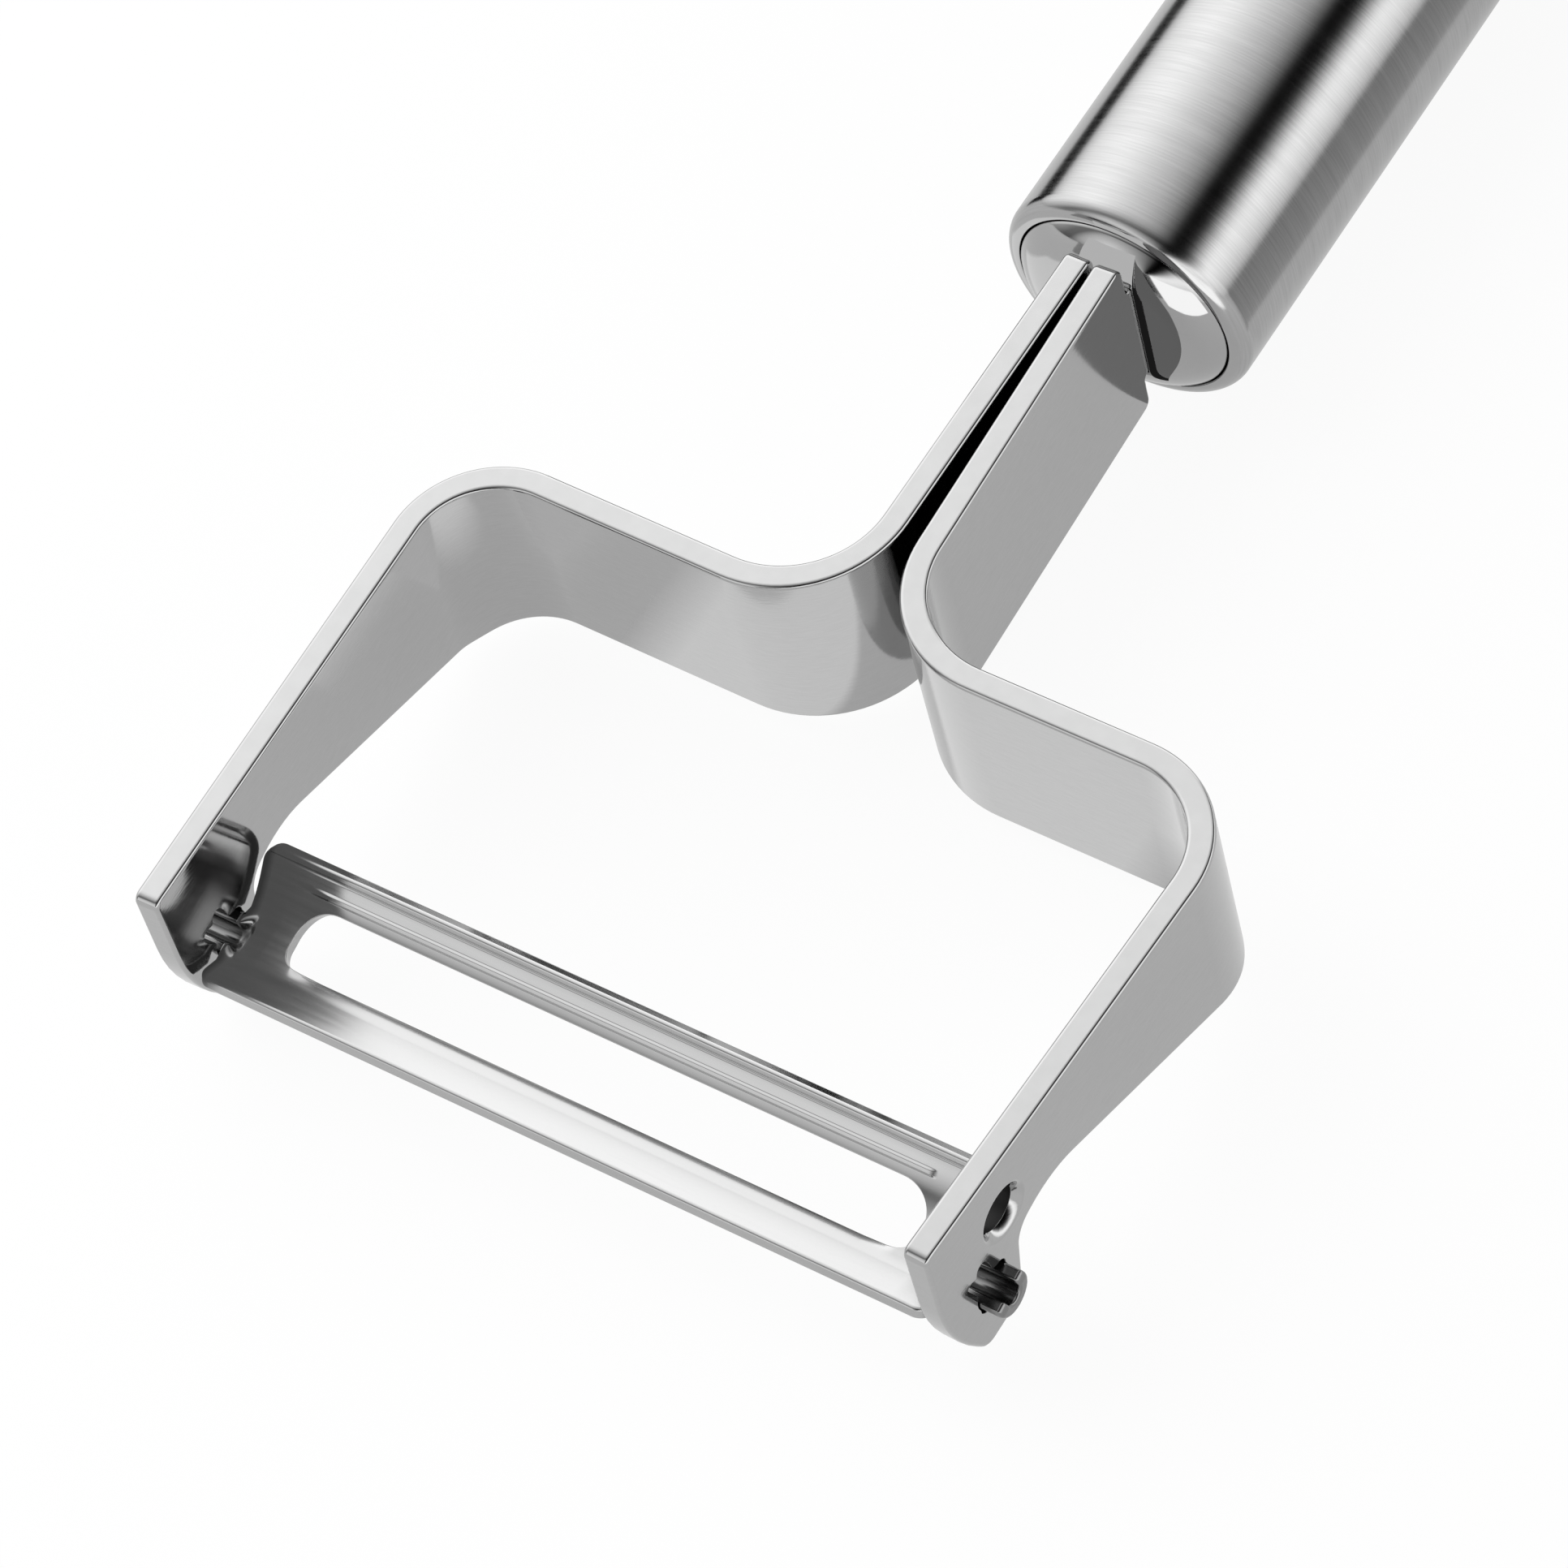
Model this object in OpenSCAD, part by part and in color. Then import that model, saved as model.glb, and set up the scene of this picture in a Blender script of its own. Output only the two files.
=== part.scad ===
// Vegetable peeler with a swivelling cross blade in a two-armed fork and a round tubular handle.
// X runs along the blade, +Y from the fork towards the handle's end, +Z up.
// The origin is under the middle of the object, on the surface it lies on.

/* [Handle] */
// Outer diameter of the handle tube
handle_d = 18; // [17:0.5:24]
// Length of the handle tube
handle_len = 102; // [80:1:140]
// Wall of the handle tube
handle_wall = 1; // [0.8:0.1:1.4]
// Rounding of the tube's rolled ends
lip_r = 1.25; // [1:0.05:1.6]
// Length of the narrower bore behind each rolled end
lip_len = 1.6; // [1.2:0.1:3]

/* [Caps] */
// How far the middle of a cap stands out of the tube
cap_crown = 1.45; // [0.8:0.05:2.2]
// Radius of the flat middle of a cap
cap_flat_r = 4.6; // [3.5:0.1:6]
// Depth of a cap inside the tube
cap_depth = 6; // [4:0.5:10]

/* [Hanging eye] */
// Outer diameter of the eye
eye_d = 11.8; // [10.6:0.2:15]
// Diameter of the hole in the eye
eye_hole_d = 6.5; // [4:0.25:7]
// Thickness of the eye
eye_t = 3.4; // [3.2:0.1:4.5]
// Edge rounding of the eye
eye_round = 0.8; // [0.3:0.1:1.1]
// Diameter of the eye's stem
stem_d = 3; // [2:0.1:3.2]
// Visible length of the stem, between cap and eye
stem_neck = 0.8; // [0.4:0.1:4]
// Length of the stem behind the cap's face
stem_len = 7; // [4:0.5:12]

/* [Tangs and core] */
// Width of the tangs that enter the handle
tang_w = 9; // [6:0.5:11]
// Length of the tangs behind the front cap's face
tang_len = 38; // [36:1:60]
// Length of the core behind the tangs' ends
core_wall = 4; // [2:0.5:10]
// Diameter of the cross pins
pin_d = 3; // [2:0.25:4]
// Distance of the first pin from the core's front
pin_inset = 8; // [5:0.5:11]
// Distance between the two pins
pin_pitch = 16; // [9:0.5:17]

/* [Fork] */
// Thickness of the strips
strip_t = 1.8; // [1.4:0.1:2.2]
// Width of the strips
strip_w = 14.6; // [13.6:0.2:16.4]
// Length of the fork, from the arms' ends to the strips' shoulders at the front cap
fork_len = 67.15; // [58:0.25:90]
// Gap between the strips' shoulders and the front cap's face
cap_gap = 0.4; // [0.1:0.05:1]
// Half the distance between the middles of the two arms, at the cross pieces
arm_x = 29.2; // [27:0.2:38]
// Radius of the bends next to the handle, at the middle of the strip
inner_bend = 7.7; // [4:0.1:9]
// Radius of the right outer bend
outer_bend_right = 6.8; // [4:0.1:9]
// Radius of the left outer bend
outer_bend_left = 6.2; // [4:0.1:9]
// Length of the right neck, from the strip's shoulder to its cross piece
neck_right = 30.75; // [22:0.25:38]
// Length of the left neck
neck_left = 30.35; // [22:0.25:38]
// Angle by which the right neck opens, in degrees
splay_right = 2; // [0:0.1:4]
// Angle by which the left neck opens, in degrees
splay_left = 0; // [0:0.1:4]
// Gap between the two strips at the cap
neck_gap = 0.28; // [0.04:0.02:0.6]
// Slope of the right cross piece, in degrees
rake_right = 0.3; // [-1:0.1:1]
// Slope of the left cross piece, in degrees
rake_left = -0.7; // [-1:0.1:1]
// Angle by which the right arm leans in, in degrees
toe_in_right = 2.4; // [0:0.1:2.6]
// Angle by which the left arm leans in, in degrees
toe_in_left = 1.5; // [0:0.1:2.6]
// Rounding at the strips' shoulders next to the cap
shoulder_r = 0.8; // [0.3:0.1:1.5]
// Rounding of the arms' upper front corner
tip_r = 0.7; // [0.3:0.1:2]

/* [Arm ends] */
// Distance of the blade's axis from the arms' front ends
pivot_inset = 4.6; // [4.2:0.1:7]
// Depth of the blade's axis below the middle of the strip
pivot_drop = 2.5; // [1.5:0.1:2.7]
// Height above the blade's axis at which the arm's front edge starts to curve
front_straight = 3.8; // [3:0.1:5]
// Radius of the arm's curved front edge
front_r = 14.2; // [12:0.2:18]
// Distance of the ear's lower end below the blade's axis
ear_drop = 4.8; // [4.5:0.1:5.5]
// Distance of the ear's rear edge behind the blade's axis
ear_rear = 3; // [2.9:0.1:4.5]
// Rounding of the ear's lower corners
ear_r = 1.2; // [0.5:0.1:1.4]
// Rounding of the notch behind the ear
notch_r = 2; // [1:0.1:2.1]
// Height of the notch's corner above the blade's axis
notch_rise = 1.65; // [1:0.05:2]
// Distance behind the blade's axis at which the arm is narrowest
waist_back = 7; // [6.5:0.1:9]
// Height above the blade's axis of the arm's lower edge there
waist_rise = 2.8; // [2:0.1:3.2]
// Rounding of the lower edge at the waist
waist_r = 7; // [4:0.5:7.5]
// Distance behind the blade's axis at which the strip reaches its full width
taper_back = 28.3; // [20:0.1:30]
// Rounding of the lower edge where the taper ends
taper_r = 6; // [2:0.5:15]

/* [Holes in the arms] */
// Diameter of the dished hole in the right arm
dish_hole_d = 3.2; // [2:0.1:3.6]
// Diameter of the dish round that hole
dish_d = 4.4; // [3.8:0.1:5]
// Depth of the dish
dish_depth = 0.5; // [0.2:0.05:1]
// Distance of the dished hole behind the blade's axis
dish_back = 2.45; // [1:0.05:4]
// Height of the dished hole above the blade's axis
dish_rise = 5.05; // [4.8:0.05:6]
// Distance of the long lobes' centres from the blade's axis
lobe_reach = 2.8; // [2.2:0.05:2.9]
// Radius of a lobe
lobe_r = 0.55; // [0.4:0.05:0.7]
// Running clearance of the blade's pivots in the arms
run_gap = 0.05; // [0.02:0.01:0.1]

/* [Blade] */
// Thickness of the blade's sheet
blade_t = 0.9; // [0.6:0.05:1.1]
// Gap between the blade's ends and the arms where the arms are closest
blade_gap = 0.08; // [0.04:0.02:0.6]
// Radius of the blade's hollow upper face
trough_r = 6.65; // [6:0.05:9]
// Distance of the trough's middle behind the blade's axis
trough_back = 1; // [0:0.1:2]
// Height of the trough's middle above the blade's axis
trough_rise = 0.55; // [0.2:0.05:0.8]
// Angle of the trough's front edge from its middle
trough_front = 44; // [35:1:44]
// Angle of the trough's rear edge from its middle
trough_rear = 46; // [38:1:50]
// Angle by which the resting blade's rear edge is raised
blade_tilt = 14; // [-15:1:20]
// Rounding of the blade's front corners
blade_front_r = 1; // [0.4:0.1:1.5]
// Rounding of the blade's rear corners
blade_rear_r = 1.3; // [0.4:0.1:2]

/* [Slot in the blade] */
// Width of bridge between the slot and each end of the blade
slot_bridge = 3.5; // [3:0.1:6]
// Angle of the slot's front edge from the trough's middle
slot_front = 13; // [10:0.5:18]
// Angle of the slot's rear edge from the trough's middle
slot_rear = 23; // [18:0.5:28]
// Rounding of the slot's front corners
slot_front_r = 1.2; // [0.5:0.1:1.4]
// Rounding of the slot's rear corners
slot_rear_r = 2.4; // [0.5:0.1:2.6]
// Width of the ground bevel along the cutting edge
bevel_w = 1; // [0.5:0.1:1.4]
// Thickness left at the cutting edge
edge_t = 0.15; // [0.05:0.05:0.3]
// Angle of the pressed bead on the rear rail from the trough's middle
bead_angle = 31; // [29:0.5:35]
// Half the width of the bead
bead_r = 0.28; // [0.15:0.01:0.35]
// Height of the bead above the rail
bead_rise = 0.12; // [0.05:0.01:0.14]

/* [Blade pivots] */
// Outer radius of the rolled pivot tongues
tongue_r = 1.55; // [1.4:0.05:1.7]
// Height above the blade's axis of the tongues' open side
tongue_rise = 0.5; // [0.2:0.05:0.8]
// Length of the tongues past the middle of the arms
tongue_reach = 1.9; // [1.8:0.1:3]
// Length of the groove that runs from a tongue into the blade
groove_len = 2.4; // [1:0.1:2.6]

/* [Hidden] */
$fn = 96;
// Clearance between pieces that are pressed or slid together
fit = 0.03;
// Width of the seam between a cap and the tube's lip
seam = 0.1;
// Largest turn of one step along a rounded corner, in degrees
arc_step = 7.5;
// Spare length of a cutter past the face that it cuts
over = 1;

handle_r = handle_d / 2;
bore_r = handle_r - handle_wall;
lip_bore_r = handle_r - lip_r;
cap_r = lip_bore_r - seam;
overall_len = fork_len + cap_gap + 2 * cap_crown + handle_len + stem_neck + eye_d;

// Places along Y
front_y = -overall_len / 2;
neck_y = front_y + fork_len;
cap_face_y = neck_y + cap_gap;
tube_y = cap_face_y + cap_crown;
tube_end_y = tube_y + handle_len;
eye_y = -front_y - eye_d / 2;
core_y = tube_y + cap_depth;
pin_front_y = core_y + pin_inset;
pin_rear_y = pin_front_y + pin_pitch;
pivot_y = front_y + pivot_inset;
tang_end_y = cap_face_y + tang_len;

// Places along Z
axis_z = handle_r;
pivot_z = axis_z - pivot_drop;

// Places along X of the strips' middles at the cap, the left one touching the middle plane
neck_x_left = strip_t / 2 + fit / 2;
neck_x_right = neck_x_left + neck_gap;
// Middle of each arm beside the blade's axis
arm_mid_right = arm_x - (neck_y - neck_right - pivot_y) * tan(toe_in_right);
arm_mid_left = arm_x - (neck_y - neck_left - pivot_y) * tan(toe_in_left);
// Tightest place between the arms, at the ends of the arms
arm_gap_half = min(
    arm_x - (fork_len - neck_right) * tan(toe_in_right),
    arm_x - (fork_len - neck_left) * tan(toe_in_left)) - strip_t / 2;
blade_half = arm_gap_half - blade_gap;
tongue_half = max(arm_mid_right, arm_mid_left) + tongue_reach;

function xy(p) = [p[0], p[1]];
function unit(v) = v / norm(v);
function left_of(v) = [-v[1], v[0]];
function reverse(list) = [for (i = [len(list) - 1 : -1 : 0]) list[i]];

// Points of one corner [x, y, radius] between its neighbours before and after it
function corner(before, at, after) =
    let (
        u = unit(xy(before) - xy(at)),
        v = unit(xy(after) - xy(at)),
        half = acos(u * v) / 2,
        centre = xy(at) + unit(u + v) * at[2] / sin(half),
        start = xy(at) + u * at[2] / tan(half) - centre,
        sweep = -sign(cross(u, v)) * (180 - 2 * half),
        steps = max(1, ceil(abs(sweep) / arc_step)),
        first = atan2(start[1], start[0])
    )
    at[2] <= 0
        ? [xy(at)]
        : [for (k = [0 : steps])
            let (angle = first + sweep * k / steps)
            centre + at[2] * [cos(angle), sin(angle)]];

// Closed outline from a list of corners [x, y, radius]
function rounded(corners) =
    let (n = len(corners))
    [for (i = [0 : n - 1]) each corner(corners[(i + n - 1) % n], corners[i], corners[(i + 1) % n])];

// Corners of an open path moved sideways by d, to the left of its direction
function moved_aside(path, d) =
    let (last = len(path) - 1)
    [for (i = [0 : last])
        let (
            before = unit(xy(path[max(i, 1)]) - xy(path[max(i, 1) - 1])),
            after = unit(xy(path[min(i, last - 1) + 1]) - xy(path[min(i, last - 1)])),
            m = left_of(i == 0 ? after : before),
            n = left_of(i == last ? before : after),
            at = xy(path[i]) + d * (m + n) / (1 + m * n),
            r = path[i][2] <= 0 ? 0 : path[i][2] - d * sign(cross(before, after))
        )
        [at[0], at[1], r]];

// Flat band of width t along an open path
module band(path, t) {
    polygon(rounded(concat(moved_aside(path, t / 2), reverse(moved_aside(path, -t / 2)))));
}

// Turns a shape drawn in Y and Z into a solid along X
module along_x(from, to) {
    translate([from, 0, 0])
        rotate([90, 0, 90])
            linear_extrude(to - from)
                children();
}

// Turns a profile of radius and height into a solid of revolution along +Y from y
module turned(y) {
    translate([0, y, axis_z])
        rotate([-90, 0, 0])
            rotate_extrude()
                children();
}

// Round rod along Y
module rod_y(r, from, to) {
    translate([0, from, axis_z])
        rotate([-90, 0, 0])
            cylinder(r = r, h = to - from);
}

// Round rod along X at height z
module rod_x(r, from, to, y, z) {
    translate([from, y, z])
        rotate([0, 90, 0])
            cylinder(r = r, h = to - from);
}

module handle_tube() {
    color("silver")
        difference() {
            turned(tube_y)
                polygon(rounded([
                    [0, 0, 0],
                    [handle_r, 0, lip_r],
                    [handle_r, handle_len, lip_r],
                    [0, handle_len, 0]]));
            rod_y(lip_bore_r, tube_y - over, tube_end_y + over);
            rod_y(bore_r, tube_y + lip_len, tube_end_y - lip_len);
        }
}

// Crowned plug with its face towards -Y at y = 0 and the tube's end at y = cap_crown
module cap_plug() {
    rim = cap_r - cap_flat_r;
    crown_r = (rim * rim + cap_crown * cap_crown) / (2 * cap_crown);
    crown_turn = asin(rim / crown_r);
    rotate([-90, 0, 0])
        rotate_extrude()
            polygon(concat(
                [[0, 0]],
                [for (k = [0 : 8])
                    [cap_flat_r + crown_r * sin(crown_turn * k / 8), crown_r * (1 - cos(crown_turn * k / 8))]],
                [[cap_r, cap_crown + cap_depth], [0, cap_crown + cap_depth]]));
}

// Space of both tangs, widened by the fit, from one Y to another
module tang_space(from, to) {
    translate([-neck_x_left - strip_t / 2 - fit, from, axis_z - tang_w / 2 - fit])
        cube([neck_x_left + neck_x_right + strip_t + 2 * fit, to - from, tang_w + 2 * fit]);
}

module front_cap() {
    color("gainsboro")
        difference() {
            translate([0, cap_face_y, axis_z])
                cap_plug();
            tang_space(cap_face_y - over, core_y + over);
        }
}

module rear_cap() {
    color("gainsboro")
        difference() {
            translate([0, tube_end_y + cap_crown, axis_z])
                mirror([0, 1, 0])
                    cap_plug();
            rod_y(stem_d / 2 + fit, tube_end_y + cap_crown - stem_len, tube_end_y + cap_crown + over);
        }
}

module hanging_eye() {
    color("gainsboro")
        difference() {
            union() {
                translate([0, eye_y, axis_z])
                    rotate_extrude()
                        polygon(rounded([
                            [0, -eye_t / 2, 0],
                            [eye_d / 2, -eye_t / 2, eye_round],
                            [eye_d / 2, eye_t / 2, eye_round],
                            [0, eye_t / 2, 0]]));
                rod_y(stem_d / 2, tube_end_y + cap_crown - stem_len + fit, eye_y);
            }
            translate([0, eye_y, axis_z - eye_t])
                cylinder(d = eye_hole_d, h = 2 * eye_t);
        }
}

module core() {
    color("dimgray")
        difference() {
            rod_y(bore_r - fit, core_y + fit, tang_end_y + core_wall);
            tang_space(core_y - over, tang_end_y + fit);
            rod_x(pin_d / 2 + fit, -bore_r, bore_r, pin_front_y, axis_z);
            rod_x(pin_d / 2 + fit, -bore_r, bore_r, pin_rear_y, axis_z);
        }
}

// Cross pin at a place along Y, as long as the core is wide there
module cross_pin(y) {
    half = sqrt(pow(bore_r - fit, 2) - pow(pin_d / 2, 2));
    color("gray")
        rod_x(pin_d / 2, -half, half, y, axis_z);
}

module pin_front() {
    cross_pin(pin_front_y);
}

module pin_rear() {
    cross_pin(pin_rear_y);
}

// Side view of a strip, in Y and Z
module strip_side() {
    top = axis_z + strip_w / 2;
    bottom = axis_z - strip_w / 2;
    tang_top = axis_z + tang_w / 2;
    tang_bottom = axis_z - tang_w / 2;
    // The front edge leaves the vertical along an arc that ends level with the ear's lower end
    curve_z = pivot_z + front_straight;
    curve_turn = asin((front_straight + ear_drop - ear_r) / front_r);
    lean_z = curve_z - front_r * tan(curve_turn / 2);
    ear_front_y = front_y + (lean_z - pivot_z + ear_drop) * tan(curve_turn);
    polygon(rounded([
        [front_y, top, tip_r],
        [front_y, lean_z, front_r],
        [ear_front_y, pivot_z - ear_drop, ear_r],
        [pivot_y + ear_rear * 3 / 4, pivot_z - ear_drop * 0.9, ear_r],
        [pivot_y + ear_rear * 1.1, pivot_z + notch_rise, notch_r],
        [pivot_y + waist_back, pivot_z + waist_rise, waist_r],
        [pivot_y + taper_back, bottom, taper_r],
        [neck_y, bottom, shoulder_r],
        [neck_y, tang_bottom, 0],
        [tang_end_y, tang_bottom, 0],
        [tang_end_y, tang_top, 0],
        [neck_y, tang_top, 0],
        [neck_y, top, shoulder_r]]));
}

// Six-lobed hole in which a rolled tongue turns, in Y and Z about the blade's axis
module pivot_hole() {
    circle(r = tongue_r + run_gap);
    for (half_turn = [0, 180]) {
        for (angle = [100, 126])
            rotate(angle + half_turn)
                lobe(lobe_reach);
        rotate(43 + half_turn)
            lobe(tongue_r - lobe_r / 2);
    }
}

// Round-ended lobe that reaches out along the first axis
module lobe(reach) {
    translate([0, -lobe_r])
        square([reach, 2 * lobe_r]);
    translate([reach, 0])
        circle(r = lobe_r, $fn = 32);
}

// One strip of the fork on the +X side, from the tang's end to the arm's end
module strip(neck_x, neck, splay, rake, outer_bend, toe_in) {
    cross_y = neck_y - neck;
    bend_x = neck_x + neck * tan(splay);
    corner_y = cross_y - (arm_x - bend_x) * tan(rake);
    end_y = front_y - over;
    intersection() {
        translate([0, 0, axis_z - strip_w / 2 - over])
            linear_extrude(strip_w + 2 * over)
                band([
                    [neck_x, tang_end_y, 0],
                    [neck_x, neck_y, 0],
                    [bend_x, cross_y, inner_bend],
                    [arm_x, corner_y, outer_bend],
                    [arm_x - (corner_y - end_y) * tan(toe_in), end_y, 0]],
                    strip_t);
        difference() {
            along_x(0, 2 * arm_x)
                strip_side();
            along_x(bend_x + inner_bend, 2 * arm_x)
                translate([pivot_y, pivot_z])
                    pivot_hole();
            rod_x(pin_d / 2 + fit, 0, neck_x + strip_t, pin_front_y, axis_z);
            rod_x(pin_d / 2 + fit, 0, neck_x + strip_t, pin_rear_y, axis_z);
        }
    }
}

module frame_left() {
    color("lightgray")
        mirror([1, 0, 0])
            strip(neck_x_left, neck_left, splay_left, rake_left, outer_bend_left, toe_in_left);
}

module frame_right() {
    color("lightgray")
        difference() {
            strip(neck_x_right, neck_right, splay_right, rake_right, outer_bend_right, toe_in_right);
            translate([arm_mid_right + dish_back * tan(toe_in_right), pivot_y + dish_back, pivot_z + dish_rise])
                rotate([0, 0, -toe_in_right])
                    dish_hole();
        }
}

// Through hole along X with a dish on its outer side
module dish_hole() {
    rod_x(dish_hole_d / 2, -strip_t, strip_t, 0, 0);
    translate([strip_t / 2 - dish_depth, 0, 0])
        rotate([0, 90, 0])
            cylinder(d1 = dish_hole_d, d2 = 2 * dish_d - dish_hole_d, h = 2 * dish_depth);
}

// Cross-section of the blade's trough, in Y and Z about its axis before the blade is tilted
module trough_section() {
    reach = 2 * trough_r;
    translate([trough_back, trough_rise + trough_r])
        difference() {
            intersection() {
                circle(r = trough_r + blade_t);
                polygon([
                    [0, 0],
                    reach * [-sin(trough_front), -cos(trough_front)],
                    [0, -2 * reach],
                    reach * [sin(trough_rear), -cos(trough_rear)]]);
            }
            circle(r = trough_r);
        }
}

// Outline of the blade seen from above, in X and Y, with rounded corners
module blade_outline() {
    front = trough_back - (trough_r + blade_t) * sin(trough_front);
    rear = trough_back + (trough_r + blade_t) * sin(trough_rear);
    polygon(rounded([
        [-blade_half, front, blade_front_r],
        [blade_half, front, blade_front_r],
        [blade_half, rear, blade_rear_r],
        [-blade_half, rear, blade_rear_r]]));
}

module slot_outline() {
    half = blade_half - slot_bridge;
    front = trough_back - trough_r * sin(slot_front);
    rear = trough_back + trough_r * sin(slot_rear);
    polygon(rounded([
        [-half, front, slot_front_r],
        [half, front, slot_front_r],
        [half, rear, slot_rear_r],
        [-half, rear, slot_rear_r]]));
}

// Wedge that grinds the upper face of the front rail down to the cutting edge
module bevel_section() {
    edge_y = trough_back - trough_r * sin(slot_front);
    edge_top = trough_rise + trough_r * (1 - cos(slot_front));
    back_y = edge_y - bevel_w;
    back_turn = asin((trough_back - back_y) / trough_r);
    back_z = trough_rise + trough_r * (1 - cos(back_turn));
    polygon([
        [edge_y, edge_top - blade_t + edge_t],
        [edge_y, edge_top + blade_t],
        [back_y, edge_top + blade_t],
        [back_y, back_z]]);
}

// Round rods along the blade's axis from the tongues' ends into the blade
module pivot_rods(r) {
    for (side = [-1, 1]) {
        inner = side * (blade_half - groove_len);
        outer = side * tongue_half;
        rod_x(r, min(inner, outer), max(inner, outer), 0, 0);
    }
}

module blade_solid() {
    hollow_r = tongue_r - blade_t;
    difference() {
        union() {
            intersection() {
                along_x(-blade_half, blade_half)
                    trough_section();
                translate([0, 0, -trough_r])
                    linear_extrude(3 * trough_r)
                        blade_outline();
            }
            intersection() {
                pivot_rods(tongue_r);
                translate([-tongue_half, -tongue_r, tongue_rise - 2 * tongue_r])
                    cube([2 * tongue_half, 2 * tongue_r, 2 * tongue_r]);
            }
            bead();
        }
        pivot_rods(hollow_r);
        for (side = [0, 1])
            mirror([side, 0, 0])
                translate([blade_half - groove_len, -hollow_r, 0])
                    cube([tongue_half, 2 * hollow_r, trough_r]);
    }
}

// Pressed bead along the rear rail
module bead() {
    half = blade_half - slot_bridge;
    sink = bead_r - bead_rise;
    y = trough_back + (trough_r + sink) * sin(bead_angle);
    z = trough_rise + trough_r - (trough_r + sink) * cos(bead_angle);
    rod_x(bead_r, -half, half, y, z);
}

module blade() {
    color("whitesmoke")
        translate([0, pivot_y, pivot_z])
            rotate([blade_tilt, 0, 0])
                difference() {
                    blade_solid();
                    translate([0, 0, -trough_r])
                        linear_extrude(3 * trough_r)
                            slot_outline();
                    along_x(slot_bridge - blade_half, blade_half - slot_bridge)
                        bevel_section();
                }
}

handle_tube();
front_cap();
rear_cap();
hanging_eye();
core();
pin_front();
pin_rear();
frame_left();
frame_right();
blade();
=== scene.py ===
"""Looks of a vegetable peeler: a cross blade in a two-armed fork of bent strips on a tubular handle.

Sizes are in millimetres and repeat the named values of the part's source. X runs along the blade,
+Y from the fork to the handle's end, +Z up, with z = 0 on the surface that the handle lies on.
"""

import math

import bmesh
import bpy
from mathutils import Matrix, Vector
from mathutils.geometry import delaunay_2d_cdt


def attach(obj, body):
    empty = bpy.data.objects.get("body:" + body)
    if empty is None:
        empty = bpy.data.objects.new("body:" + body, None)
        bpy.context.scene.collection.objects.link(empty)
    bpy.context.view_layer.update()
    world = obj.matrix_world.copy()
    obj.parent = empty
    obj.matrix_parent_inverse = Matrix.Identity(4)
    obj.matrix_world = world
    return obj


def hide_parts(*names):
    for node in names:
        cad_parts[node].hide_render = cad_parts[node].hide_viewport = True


MM = 0.001

# Handle and caps
HANDLE_R = 9.0
HANDLE_LEN = 102.0
BORE_R = 8.0
LIP_R = 1.25
LIP_LAND = 0.12
LIP_LEN = 1.6
TUBE_EDGE_R = 0.1
CAP_CROWN = 1.45
CAP_FLAT_R = 4.6
CAP_R = 7.65
CAP_DEPTH = 6.0
CAP_EDGE_R = 0.12
CAP_HOLE_EDGE_R = 0.05
# Size of the cells that the cap's face is divided into
CAP_CELL = 0.4
# Radius of the crown from the cap's flat face to its rim
CROWN_R = ((CAP_R - CAP_FLAT_R) ** 2 + CAP_CROWN ** 2) / (2 * CAP_CROWN)
STEM_NECK = 0.8
STEM_D = 3.0
EYE_D = 11.8
FIT = 0.03

# Fork
STRIP_T = 1.8
STRIP_W = 14.6
FORK_LEN = 67.15
CAP_GAP = 0.4
ARM_X = 29.2
NECK_X_LEFT = 0.915
NECK_X_RIGHT = 1.195
INNER_BEND = 7.7
TANG_W = 9.0
TANG_LEN = 38.0
SHOULDER_R = 0.8
TANG_BEND = 3.0
# How much larger the tang's corner radius is than the radius of the strip's edges
TANG_CORNER_MORE = 0.05
TIP_R = 0.7

# Arm ends
PIVOT_INSET = 4.6
PIVOT_DROP = 2.5
FRONT_STRAIGHT = 3.8
FRONT_R = 14.2
EAR_DROP = 4.8
EAR_REAR = 3.0
EAR_R = 1.2
# Shares of the ear's length and drop at its heel, and of its length at the notch
HEEL_BACK = 0.75
HEEL_DROP = 0.9
NOTCH_BACK = 1.1
NOTCH_R = 2.0
NOTCH_RISE = 1.65
WAIST_BACK = 7.0
WAIST_RISE = 2.8
WAIST_R = 7.0
TAPER_BACK = 28.3
TAPER_R = 6.0
DISH_HOLE_R = 1.6
DISH_R = 2.2
DISH_DEPTH = 0.6
DISH_WALL = 0.05
FUNNEL_POWER = 1.8
DISH_BACK = 2.45
DISH_RISE = 5.05
PIVOT_FIT = 0.05
LOBE_R = 0.55
# Angle and reach of each lobe
LOBES = ((43, 1.275), (100, 2.8), (126, 2.8), (223, 1.275), (280, 2.8), (306, 2.8))

# Blade
BLADE_T = 0.9
BLADE_HALF = 26.69
TROUGH_R = 6.65
TROUGH_BACK = 1.0
TROUGH_RISE = 0.55
TROUGH_FRONT = 44.0
TROUGH_REAR = 46.0
BLADE_TILT = 14.0
SLOT_BRIDGE = 3.5
SLOT_FRONT = 13.0
SLOT_REAR = 23.0
SLOT_FRONT_R = 1.2
SLOT_REAR_R = 2.4
FRONT_CORNER_R = 1.0
REAR_CORNER_R = 1.3
TONGUE_ROOT_R = 0.25
TONGUE_TIP_R = 0.4
EDGE_T = 0.15
BEAD_ANGLE = 30.8
BEAD_HALF = 0.27
BEAD_RISE = 0.12
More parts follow.
